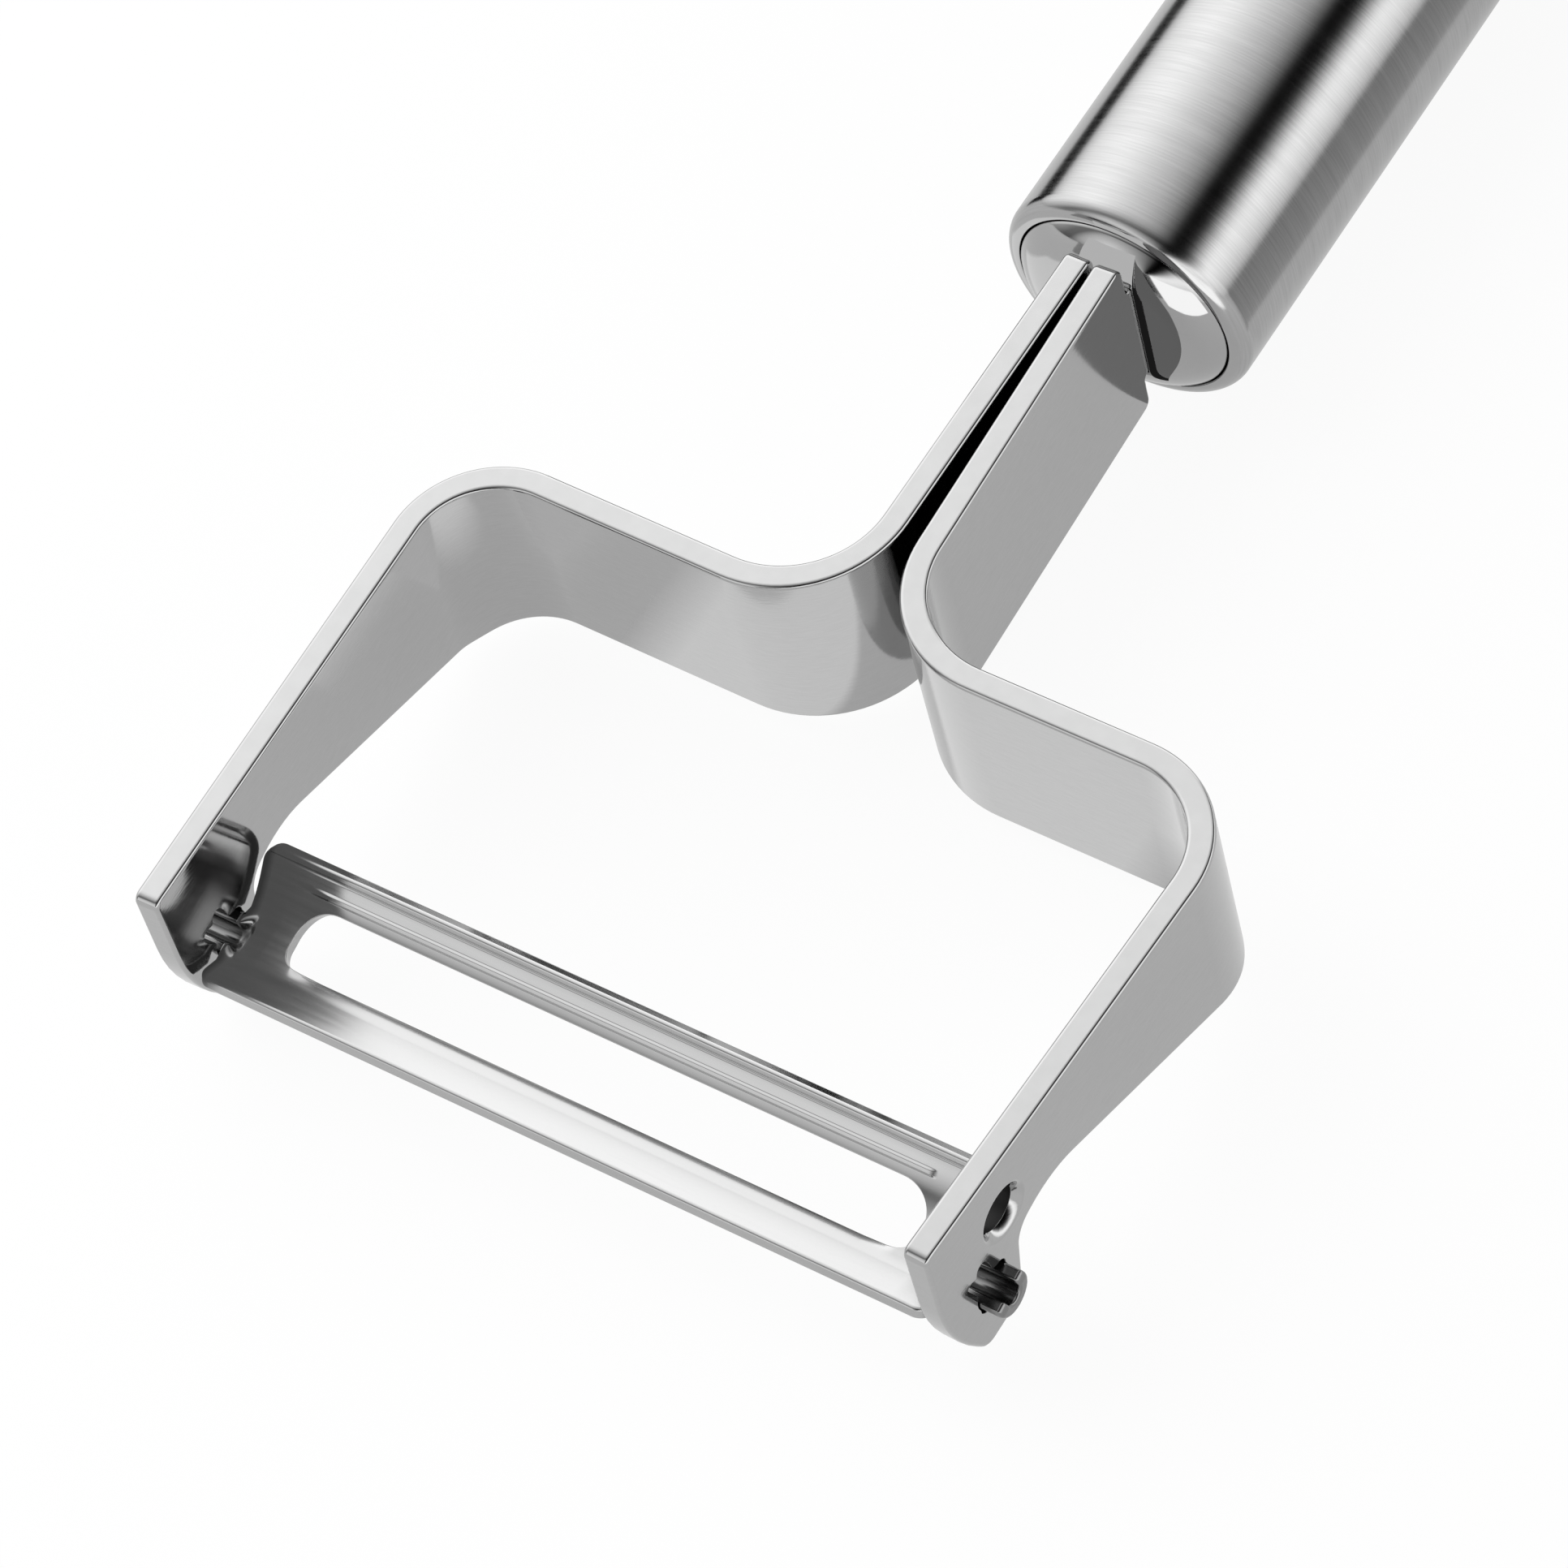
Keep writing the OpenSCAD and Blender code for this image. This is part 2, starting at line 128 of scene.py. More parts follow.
# Shares of the bead's half width between which its flank falls, and where its ends rise,
# from the slot's ends inwards
BEAD_FLANK = (0.35, 1.15)
BEAD_LEFT = (-1.2, 1.6)
BEAD_RIGHT = (0.3, 0.9)
TONGUE_R = 1.55
TONGUE_RISE = 0.5
TONGUE_HALF = 30.26
# Half the width of the flat tongue before it is rolled
TONGUE_FLAT = 1.3
# Length over which the sheet rolls up, and width beside it over which the roll fades out
GROOVE_LEN = 1.2
GROOVE_SIDE = 0.8
# The front rail is flat: where it starts, its slope, and the length of the bend before it
RAIL_FROM = 17.0
RAIL_SLOPE = 34.5
RAIL_BEND = 0.8
# A shallow groove along the rear rim
RIM_ANGLE = 40.9
RIM_HALF = 0.17
RIM_DEPTH = 0.08
# Width over which the cutting edge is ground, the depth that stays in place, and the distances
# from the slot's end between which the grinding stops
GRIND_W = 1.3
GRIND_MIDDLE = 0.4
GRIND_END = (2.4, 0.8)
# How far the sheet's ends turn down towards the tongues, over what length, and between what
# distances beside the tongue this fades out
END_DROP = 0.35
END_LEN = 2.6
DROP_SIDE = (1.5, 5.0)
# The left end is longer, at its front corner, at the tongue and at its rear corner
LEFT_FRONT = 0.35
LEFT_MIDDLE = 0.42
LEFT_REAR = 0.55

# Roundings of the edges, finer than the part's source draws them
STRIP_EDGE_R = 0.3
HOLE_EDGE_R = 0.07
BLADE_EDGE_R = 0.24
SLOT_EDGE_R = 0.07

# Places along Y and Z
OVERALL = FORK_LEN + CAP_GAP + 2 * CAP_CROWN + HANDLE_LEN + STEM_NECK + EYE_D
FRONT_Y = -OVERALL / 2
NECK_Y = FRONT_Y + FORK_LEN
CAP_FACE_Y = NECK_Y + CAP_GAP
TUBE_Y = CAP_FACE_Y + CAP_CROWN
TUBE_END_Y = TUBE_Y + HANDLE_LEN
PIVOT_Y = FRONT_Y + PIVOT_INSET
TANG_END_Y = CAP_FACE_Y + TANG_LEN
AXIS_Z = HANDLE_R
PIVOT_Z = AXIS_Z - PIVOT_DROP


# Outlines

def rounded(corners, step=6.0):
    """Closed counter-clockwise outline with round corners (x, y, radius), as (point, normal) pairs."""
    count = len(corners)
    points = []
    for i, (x, y, radius) in enumerate(corners):
        at = Vector((x, y))
        to_before = (Vector(corners[i - 1][:2]) - at).normalized()
        to_after = (Vector(corners[(i + 1) % count][:2]) - at).normalized()
        half = to_before.angle(to_after) / 2
        turn = to_after.x * to_before.y - to_after.y * to_before.x
        convex = 1 if turn > 0 else -1
        centre = at + (to_before + to_after).normalized() * radius / math.sin(half)
        start = at + to_before * radius / math.tan(half) - centre
        sweep = convex * (math.pi - 2 * half)
        steps = max(2, math.ceil(abs(math.degrees(sweep)) / step))
        for k in range(steps + 1):
            arm = Matrix.Rotation(sweep * k / steps, 2) @ start
            points.append((centre + arm, arm.normalized() * convex))
    return points


def lobed_hole(radius, lobes, lobe_r, y, z, step=3):
    """Counter-clockwise outline of a round hole with round-ended lobes, as (point, normal) pairs."""
    def reach_at(angle):
        far = radius
        for lobe_angle, reach in lobes:
            off = math.radians((angle - lobe_angle + 180) % 360 - 180)
            if abs(off) > math.pi / 2:
                continue
            aside = reach * math.sin(off)
            if abs(aside) <= lobe_r:
                far = max(far, reach * math.cos(off) + math.sqrt(lobe_r ** 2 - aside ** 2))
            elif lobe_r / abs(math.tan(off)) <= reach:
                far = max(far, lobe_r / abs(math.sin(off)))
        return far

    spread = range(-4, 5)
    reaches = [sum(reach_at(a + s) for s in spread) / len(spread) for a in range(0, 360, step)]
    ring = [
        Vector((y, z)) + r * Vector((math.cos(math.radians(a)), math.sin(math.radians(a))))
        for a, r in zip(range(0, 360, step), reaches)
    ]
    pairs = []
    for i, point in enumerate(ring):
        along = (ring[(i + 1) % len(ring)] - ring[i - 1]).normalized()
        pairs.append((point, Vector((along.y, -along.x))))
    return pairs


def circle(radius, y, z, count=48):
    """Counter-clockwise circle as (point, normal) pairs."""
    pairs = []
    for k in range(count):
        out = Vector((math.cos(math.tau * k / count), math.sin(math.tau * k / count)))
        pairs.append((Vector((y, z)) + radius * out, out))
    return pairs


# Edge profiles

def edge_profile(top, bottom, upper_r, lower_r, steps=4):
    """Steps (inset, height, outward, upward) down a rounded edge, from the upper face to the lower."""
    rows = []
    for k in range(steps + 1):
        turn = math.pi / 2 * k / steps
        rows.append((
            upper_r * (1 - math.sin(turn)), top - upper_r * (1 - math.cos(turn)),
            math.sin(turn), math.cos(turn)))
    for k in range(steps + 1):
        turn = math.pi / 2 * k / steps
        rows.append((
            lower_r * (1 - math.cos(turn)), bottom + lower_r * (1 - math.sin(turn)),
            math.cos(turn), -math.sin(turn)))
    return rows


def dish_profile(top, bottom, dish_r, hole_r, depth, steps=10):
    """Steps down a punched hole whose upper rim sinks in a smooth funnel."""
    rows = []
    width = dish_r - hole_r
    for k in range(steps + 1):
        share = k / steps
        sink = depth * share ** FUNNEL_POWER
        slope = depth * FUNNEL_POWER * share ** (FUNNEL_POWER - 1) / width
        length = math.hypot(slope, 1)
        rows.append((width * (1 - share), top - sink, slope / length, 1 / length))
    rows.append((0, top - depth - DISH_WALL, 1, 0))
    return rows + [row for row in edge_profile(top, bottom, 0, HOLE_EDGE_R) if row[3] <= 0 and row[1] < 0]


# Sheets

def encloses(ring, point):
    """Whether a closed ring of points goes round a point."""
    inside = False
    for a, b in zip(ring, ring[1:] + ring[:1]):
        if (a.y > point.y) != (b.y > point.y):
            if point.x < a.x + (b.x - a.x) * (point.y - a.y) / (b.y - a.y):
                inside = not inside
    return inside


def sheet(name, outer, holes, place, u_cuts, v_cuts):
    """Solid sheet from flat outlines. outer and each hole are (pairs, profile); place(u, v, h) bends
    a flat point into space. The cuts are the places where the flat sheet is divided to bend well.
    The walls of the holes are marked with 1 in the attribute wall."""
    tiny, upright = 1e-3, 0.9
    mesh = bmesh.new()
    flat_normal = mesh.verts.layers.float_vector.new("flat_normal")
    wall = mesh.faces.layers.float.new("wall")
    upper, lower = [], []
    for is_hole, (pairs, profile) in [(False, outer)] + [(True, hole) for hole in holes]:
        into = 1 if is_hole else -1
        rings = []
        for inset, height, outward, upward in profile:
            ring = []
            for point, normal in pairs:
                at = point + into * normal * inset
                vert = mesh.verts.new((at.x, at.y, height))
                away = -into * normal * outward
                vert[flat_normal] = Vector((away.x, away.y, upward))
                ring.append(vert)
            rings.append(ring)
        count = len(pairs)
        for row in range(len(rings) - 1):
            ring, below = rings[row], rings[row + 1]
            is_wall = is_hole and min(profile[row][2], profile[row + 1][2]) > upright
            for k in range(count):
                quad = (ring[k], below[k], below[(k + 1) % count], ring[(k + 1) % count])
                face = mesh.faces.new(quad[::-1] if is_hole else quad)
                face[wall] = 1.0 if is_wall else 0.0
        upper.append(rings[0])
        lower.append(rings[-1])
    for rings, up in ((upper, True), (lower, False)):
        verts = [vert for ring in rings for vert in ring]
        edges = []
        start = 0
        for ring in rings:
            edges += [(start + k, start + (k + 1) % len(ring)) for k in range(len(ring))]
            start += len(ring)
        openings = [[vert.co.xy for vert in ring] for ring in rings[1:]]
        filled = delaunay_2d_cdt([vert.co.xy for vert in verts], edges, [], 1, 1e-7)
        for face in filled[2]:
            corners = [verts[filled[3][k][0]] for k in face]
            middle = sum((vert.co.xy for vert in corners), Vector((0, 0))) / len(corners)
            if not any(encloses(ring, middle) for ring in openings):
                mesh.faces.new(corners if up else corners[::-1])
    for axis, cuts in ((Vector((1, 0, 0)), u_cuts), (Vector((0, 1, 0)), v_cuts)):
        for cut in cuts:
            everything = mesh.verts[:] + mesh.edges[:] + mesh.faces[:]
            bmesh.ops.bisect_plane(
                mesh, geom=everything, dist=1e-5, plane_co=axis * cut, plane_no=axis)
    places, normals = [], []
    for vert in mesh.verts:
        u, v, h = vert.co
        across = vert[flat_normal].normalized()
        along_u = place(u + tiny, v, h) - place(u - tiny, v, h)
        along_v = place(u, v + tiny, h) - place(u, v - tiny, h)
        along_h = place(u, v, h + tiny) - place(u, v, h - tiny)
        normal = (
            across.x * along_v.cross(along_h)
            + across.y * along_h.cross(along_u)
            + across.z * along_u.cross(along_v))
        places.append(place(u, v, h))
        normals.append(normal.normalized())
    for vert, at in zip(mesh.verts, places):
        vert.co = at * MM
    return finished(name, mesh, normals)


def finished(name, mesh, normals):
    """Turns a bmesh into a smooth-shaded object with the given normals."""
    data = bpy.data.meshes.new(name)
    for face in mesh.faces:
        face.smooth = True
    mesh.to_mesh(data)
    mesh.free()
    if "flat_normal" in data.attributes:
        data.attributes.remove(data.attributes["flat_normal"])
    data.normals_split_custom_set_from_vertices(normals)
    piece = bpy.data.objects.new(name, data)
    bpy.context.scene.collection.objects.link(piece)
    return piece


# Strips of the fork

class Path:
    """Plan view of a strip's middle, from the arm's front end to the tang's end."""

    def __init__(self, corners):
        self.parts = []
        at = Vector(corners[0][:2])
        for i in range(1, len(corners)):
            corner = Vector(corners[i][:2])
            ahead = (corner - Vector(corners[i - 1][:2])).normalized()
            if i == len(corners) - 1:
                self.parts.append((at, ahead, (corner - at).length, 0.0))
                break
            after = (Vector(corners[i + 1][:2]) - corner).normalized()
            turn = math.atan2(ahead.x * after.y - ahead.y * after.x, ahead.dot(after))
            radius = corners[i][2]
            cut = radius * math.tan(abs(turn) / 2)
            start = corner - ahead * cut
            self.parts.append((at, ahead, (start - at).length, 0.0))
            self.parts.append((start, ahead, radius * abs(turn), math.copysign(1 / radius, turn)))
            at = corner + after * cut
        self.length = sum(part[2] for part in self.parts)

    def at(self, s, h):
        """Point at the length s along the path, h to its right."""
        last = len(self.parts) - 1
        for i, (start, ahead, length, bend) in enumerate(self.parts):
            if s <= length or i == last:
                break
            s -= length
        if bend == 0:
            point, heading = start + ahead * s, ahead
        else:
            left = Vector((-ahead.y, ahead.x))
            turned = Matrix.Rotation(s * bend, 2)
            heading = turned @ ahead
            point = start + left / bend - turned @ left / bend
        return point + Vector((heading.y, -heading.x)) * h

    def cuts(self, step=4.0):
        """Lengths along the path at which its bends are divided."""
        places, s = [], 0.0
        for _, _, length, bend in self.parts:
            if bend != 0:
                count = max(1, math.ceil(math.degrees(length * abs(bend)) / step))
                places += [s + length * k / count for k in range(count + 1)]
            s += length
        return places


def strip(name, side, neck_x, neck, splay, rake, outer_bend, toe_in, dished):
    """One strip of the fork. side is 1 for the right strip and -1 for the left one."""
    cross_y = NECK_Y - neck
    bend_x = neck_x + neck * math.tan(math.radians(splay))
    corner_y = cross_y - (ARM_X - bend_x) * math.tan(math.radians(rake))
    front_x = ARM_X - (corner_y - FRONT_Y) * math.tan(math.radians(toe_in))
    path = Path([
        (side * front_x, FRONT_Y),
        (side * ARM_X, corner_y, outer_bend),
        (side * bend_x, cross_y, INNER_BEND),
        (side * neck_x, NECK_Y, TANG_BEND),
        (side * neck_x, TANG_END_Y)])

    def on_arm(y):
        return (y - FRONT_Y) / math.cos(math.radians(toe_in))

    def on_neck(y):
        return path.length - (TANG_END_Y - y)

    top = AXIS_Z + STRIP_W / 2
    bottom = AXIS_Z - STRIP_W / 2
    tang_top = AXIS_Z + TANG_W / 2
    tang_bottom = AXIS_Z - TANG_W / 2
    curve_turn = math.asin((FRONT_STRAIGHT + EAR_DROP - EAR_R) / FRONT_R)
    lean_z = PIVOT_Z + FRONT_STRAIGHT - FRONT_R * math.tan(curve_turn / 2)
    ear_front_y = FRONT_Y + (lean_z - PIVOT_Z + EAR_DROP) * math.tan(curve_turn)
    tang_r = STRIP_EDGE_R + TANG_CORNER_MORE
    outline = rounded([
        (on_arm(FRONT_Y), top, TIP_R),
        (on_arm(FRONT_Y), lean_z, FRONT_R),
        (on_arm(ear_front_y), PIVOT_Z - EAR_DROP, EAR_R),
        (on_arm(PIVOT_Y + EAR_REAR * HEEL_BACK), PIVOT_Z - EAR_DROP * HEEL_DROP, EAR_R),
        (on_arm(PIVOT_Y + EAR_REAR * NOTCH_BACK), PIVOT_Z + NOTCH_RISE, NOTCH_R),
        (on_arm(PIVOT_Y + WAIST_BACK), PIVOT_Z + WAIST_RISE, WAIST_R),
        (on_arm(PIVOT_Y + TAPER_BACK), bottom, TAPER_R),
        (on_neck(NECK_Y), bottom, SHOULDER_R),
        (on_neck(NECK_Y), tang_bottom, tang_r),
        (on_neck(TANG_END_Y), tang_bottom, tang_r),
        (on_neck(TANG_END_Y), tang_top, tang_r),
        (on_neck(NECK_Y), tang_top, tang_r),
        (on_neck(NECK_Y), top, SHOULDER_R)])
    half = STRIP_T / 2
    edge = edge_profile(half, -half, STRIP_EDGE_R, STRIP_EDGE_R)
    hole_edge = edge_profile(half, -half, HOLE_EDGE_R, HOLE_EDGE_R)
    pivot = lobed_hole(TONGUE_R + PIVOT_FIT, LOBES, LOBE_R, on_arm(PIVOT_Y), PIVOT_Z)
    holes = [(pivot, hole_edge)]
    if dished:
        dish = circle(DISH_HOLE_R, on_arm(PIVOT_Y + DISH_BACK), PIVOT_Z + DISH_RISE)
        holes.append((dish, dish_profile(half, -half, DISH_R, DISH_HOLE_R, DISH_DEPTH)))

    def place(s, z, h):
        plan = path.at(s, h)
        return Vector((plan.x, plan.y, z))

    return sheet(name, (outline, edge), holes, place, path.cuts(), [])


# Blade

def ease(value, low, high):
    """0 below low, 1 above high, smooth between."""
    share = min(1.0, max(0.0, (value - low) / (high - low)))
    return share * share * (3 - 2 * share)


def arc(angle):
    """Length along the trough's upper face to an angle from its middle."""
    return TROUGH_R * math.radians(angle)


def trough_point(a, h):
    """Point of the trough's section: round, but flat along the front rail."""
    start, slope = math.radians(RAIL_FROM), math.radians(RAIL_SLOPE)
    past = -a - TROUGH_R * start
    if past <= 0:
        heading = a / TROUGH_R
        point = TROUGH_R * Vector((math.sin(heading), 1 - math.cos(heading)))
    else:
        bend_r = RAIL_BEND / (slope - start)
        heading = -min(slope, start + past / bend_r)
        point = TROUGH_R * Vector((-math.sin(start), 1 - math.cos(start)))
        point += bend_r * Vector((math.sin(heading) + math.sin(start), math.cos(start) - math.cos(heading)))
        point += max(0.0, past - RAIL_BEND) * Vector((-math.cos(slope), math.sin(slope)))
    inward = Vector((-math.sin(heading), math.cos(heading)))
    return Vector((TROUGH_BACK, TROUGH_RISE)) + point + h * inward


def place_blade(x, a, h):
    """Bends a flat point of the blade's sheet: x along it, a across it, h above its upper face."""
    far = abs(x)
    close = far - LEFT_MIDDLE if x < 0 else far
    inside = BLADE_HALF - SLOT_BRIDGE
    # The cutting edge is ground thin
    back = arc(-SLOT_FRONT) - GRIND_W
    ground = min(1.0, max(0.0, (a - back) / GRIND_W)) ** 3
    ground *= 1 - ease(far, inside - GRIND_END[0], inside - GRIND_END[1])
    if a < 0:
        kept = -BLADE_T * GRIND_MIDDLE
        h = kept + (h - kept) * (1 - ground * (1 - EDGE_T / BLADE_T))
    # The bead is pressed up, pointed at its left end and round at its right end
    off = (a - arc(BEAD_ANGLE)) / BEAD_HALF
    fade = ease(x + inside, *BEAD_LEFT) * ease(inside - x, *BEAD_RIGHT)
    bump = BEAD_RISE * (1 - ease(abs(off), *BEAD_FLANK)) * fade
    h += bump * (1 + h / BLADE_T)
    # The rim's groove
    h -= RIM_DEPTH * (1 - ease(abs(a - arc(RIM_ANGLE)), 0, RIM_HALF)) * (1 + h / BLADE_T)
    trough = trough_point(a, h)
    # Towards its ends the sheet narrows into a groove and then a rolled tongue
    inner_r = TONGUE_R - BLADE_T
    middle_r = inner_r + BLADE_T / 2
    quarter = middle_r * math.pi / 2
    along = a + TROUGH_BACK
    rolled = along * (quarter + TONGUE_RISE) / TONGUE_FLAT
    turn = max(-math.pi / 2, min(math.pi / 2, rolled / middle_r))
    rise = max(0.0, abs(rolled) - quarter)
    tongue_r = inner_r - h
    tongue = Vector((tongue_r * math.sin(turn), rise - tongue_r * math.cos(turn)))
    share = ease(close, BLADE_HALF - GROOVE_LEN, BLADE_HALF)
    share *= 1 - ease(abs(along), TONGUE_FLAT, TONGUE_FLAT + GROOVE_SIDE)
    drop = ease(close, BLADE_HALF - END_LEN, BLADE_HALF) * (1 - ease(abs(along), *DROP_SIDE))
    trough.y -= END_DROP * drop
    section = trough.lerp(tongue, share)
    tilted = Matrix.Rotation(math.radians(BLADE_TILT), 2) @ section
    return Vector((x, PIVOT_Y + tilted.x, PIVOT_Z + tilted.y))


def blade():
    """The blade, one pressed sheet with its slot and its two tongues."""
    front, rear = arc(-TROUGH_FRONT), arc(TROUGH_REAR)
    low, high = -TROUGH_BACK - TONGUE_FLAT, -TROUGH_BACK + TONGUE_FLAT
    outline = rounded([
        (-BLADE_HALF - LEFT_FRONT, front, FRONT_CORNER_R),
        (BLADE_HALF, front, FRONT_CORNER_R),
        (BLADE_HALF, low, TONGUE_ROOT_R),
        (TONGUE_HALF, low, TONGUE_TIP_R),
        (TONGUE_HALF, high, TONGUE_TIP_R),
        (BLADE_HALF, high, TONGUE_ROOT_R),
        (BLADE_HALF, rear, REAR_CORNER_R),
        (-BLADE_HALF - LEFT_REAR, rear, REAR_CORNER_R),
        (-BLADE_HALF - LEFT_MIDDLE, high, TONGUE_ROOT_R),
        (-TONGUE_HALF, high, TONGUE_TIP_R),
        (-TONGUE_HALF, low, TONGUE_TIP_R),
        (-BLADE_HALF - LEFT_MIDDLE, low, TONGUE_ROOT_R)])
    inside = BLADE_HALF - SLOT_BRIDGE
    slot = rounded([
        (-inside, arc(-SLOT_FRONT), SLOT_FRONT_R),
        (inside, arc(-SLOT_FRONT), SLOT_FRONT_R),
        (inside, arc(SLOT_REAR), SLOT_REAR_R),
        (-inside, arc(SLOT_REAR), SLOT_REAR_R)])
    edge = edge_profile(0, -BLADE_T, BLADE_EDGE_R, BLADE_EDGE_R)
    slot_edge = edge_profile(0, -BLADE_T, SLOT_EDGE_R, SLOT_EDGE_R)
    # The flat sheet is divided finely where it bends: at its ends, along the slot's front edge,
    # the bend of the front rail, the bead, the rim and the tongues
    ends = [inside - 1.6 + 0.25 * k for k in range(12)]
    ends += [BLADE_HALF - 2.5 + 0.15 * k for k in range(21)]
    u_cuts = [side * x for side in (-1, 1) for x in ends] + [-20, -10, 0, 10, 20]
    v_cuts = [arc(angle) for angle in range(-42, 46, 3)]
    v_cuts += [arc(BEAD_ANGLE) + BEAD_HALF * k / 6 for k in range(-8, 9)]
    v_cuts += [arc(-SLOT_FRONT) - GRIND_W * k / 10 for k in range(11)]
    v_cuts += [-arc(RAIL_FROM) - RAIL_BEND * k / 6 for k in range(7)]
    v_cuts += [arc(RIM_ANGLE) + RIM_HALF * k / 5 for k in range(-5, 6)]
    v_cuts += [-TROUGH_BACK + 0.16 * k for k in range(-15, 16)]
    return sheet("blade_sheet", (outline, edge), [(slot, slot_edge)], place_blade, u_cuts, v_cuts)


# Turned pieces

def turned(name, pairs, segments=192):
    """Solid of revolution about the handle's axis from a closed outline in radius and Y."""
    mesh = bmesh.new()
    rings, normals = [], []
    for k in range(segments):
        angle = math.tau * k / segments
        out = Vector((math.cos(angle), 0, math.sin(angle)))
        ring = []
        for point, normal in pairs:
            at = out * point.x + Vector((0, point.y, AXIS_Z))
            ring.append(mesh.verts.new(at * MM))
            normals.append((out * normal.x + Vector((0, normal.y, 0))).normalized())
        rings.append(ring)
    count = len(pairs)
    for k in range(segments):
        here, there = rings[k], rings[(k + 1) % segments]
        for i in range(count):
            j = (i + 1) % count
            mesh.faces.new((here[i], here[j], there[j], there[i]))
    return finished(name, mesh, normals)


def tube():
    """The handle tube with its two rolled ends."""
    lip_bore = HANDLE_R - LIP_R
    lip_round = LIP_R - LIP_LAND
    corners = [
        (lip_bore, TUBE_Y, TUBE_EDGE_R),
        (HANDLE_R, TUBE_Y, lip_round),
        (HANDLE_R, TUBE_END_Y, lip_round),
        (lip_bore, TUBE_END_Y, TUBE_EDGE_R),
        (lip_bore, TUBE_END_Y - LIP_LEN, TUBE_EDGE_R),
        (BORE_R, TUBE_END_Y - LIP_LEN, TUBE_EDGE_R),
        (BORE_R, TUBE_Y + LIP_LEN, TUBE_EDGE_R),
        (lip_bore, TUBE_Y + LIP_LEN, TUBE_EDGE_R)]
    return turned("tube_shell", rounded(corners))


def crown(radius):
    """How far behind its face the cap's surface lies at a radius."""
    past = max(0.0, radius - CAP_FLAT_R)
    return CROWN_R - math.sqrt(CROWN_R ** 2 - past ** 2)


def front_cap():
    """Crowned cap with the slot that the two tangs go through."""
    depth = CAP_CROWN + CAP_DEPTH

    def place(x, z, h):
        sunk = crown(min(CAP_R, math.hypot(x, z - AXIS_Z)))
        return Vector((x, CAP_FACE_Y + sunk * (1 + h / depth) - h, z))

    half = TANG_W / 2 + FIT
    left = -(NECK_X_LEFT + STRIP_T / 2 + FIT)
    right = NECK_X_RIGHT + STRIP_T / 2 + FIT
    slot = rounded([
        (left, AXIS_Z - half, CAP_EDGE_R), (right, AXIS_Z - half, CAP_EDGE_R),
        (right, AXIS_Z + half, CAP_EDGE_R), (left, AXIS_Z + half, CAP_EDGE_R)])
    rim = edge_profile(0, -depth, CAP_EDGE_R, CAP_EDGE_R)
    slot_rim = edge_profile(0, -depth, CAP_HOLE_EDGE_R, CAP_HOLE_EDGE_R)
    grid = [CAP_CELL * k for k in range(-20, 21)]
    return sheet(
        "cap_front", (circle(CAP_R, 0, AXIS_Z, 144), rim), [(slot, slot_rim)], place,
        grid, [AXIS_Z + z for z in grid])


def rear_cap():
    """Crowned cap with the round hole of the hanging eye's stem."""
    face = TUBE_END_Y + CAP_CROWN
    inner = TUBE_END_Y - CAP_DEPTH
    hole = STEM_D / 2 + FIT
    edge = CAP_HOLE_EDGE_R
    turn = math.asin((CAP_R - CAP_FLAT_R) / CROWN_R)
    steps = 12
    outline = []
    for k in range(steps + 1):
        out = Vector((math.sin(turn * (1 - k / steps)), math.cos(turn * (1 - k / steps))))
        outline.append((Vector((CAP_FLAT_R, face - CROWN_R)) + out * CROWN_R, out))
    for radius, y, normal in (
            (hole + edge, face, (0, 1)), (hole, face - edge, (-1, 0)),
            (hole, inner + edge, (-1, 0)), (hole + edge, inner, (0, -1)),
            (CAP_R - edge, inner, (0, -1)), (CAP_R, inner + edge, (1, 0)),
            (CAP_R, TUBE_END_Y - edge, (1, 0))):
        outline.append((Vector((radius, y)), Vector(normal)))
    return turned("cap_rear", outline)


# Materials

STEEL = 0.43
STRIP_STEEL = 0.46
BLADE_STEEL = 0.48
CORE_GREY = 0.05
# Radius at which the tube's polished lip turns into its brushed part, and the width of the change
BRUSHED_FROM = 8.3
BRUSHED_FADE = 0.25
# How much darker the walls of the holes are painted, as shade inside the holes, and how much rougher they
# are from the punch
HOLE_PAINTED_SHADE = 0.93
SHEARED_ROUGHER = 0.4
# Distances from the blade's middle between which its ends turn dull, and its tongues turn dark with painted
# shade inside the arms' holes
DULL_ENDS = (21.0, 23.5)
PAINTED_SHADE_TONGUES = (26.3, 26.8)
# Places in front of and behind the pivot between which the dullness of the ground rail ends
GROUND_UNTIL = (-1.0, 1.5)
# A colour ramp holds nothing above 1, so the strengths of the light are divided by this
RAMP_TOP = 2.0


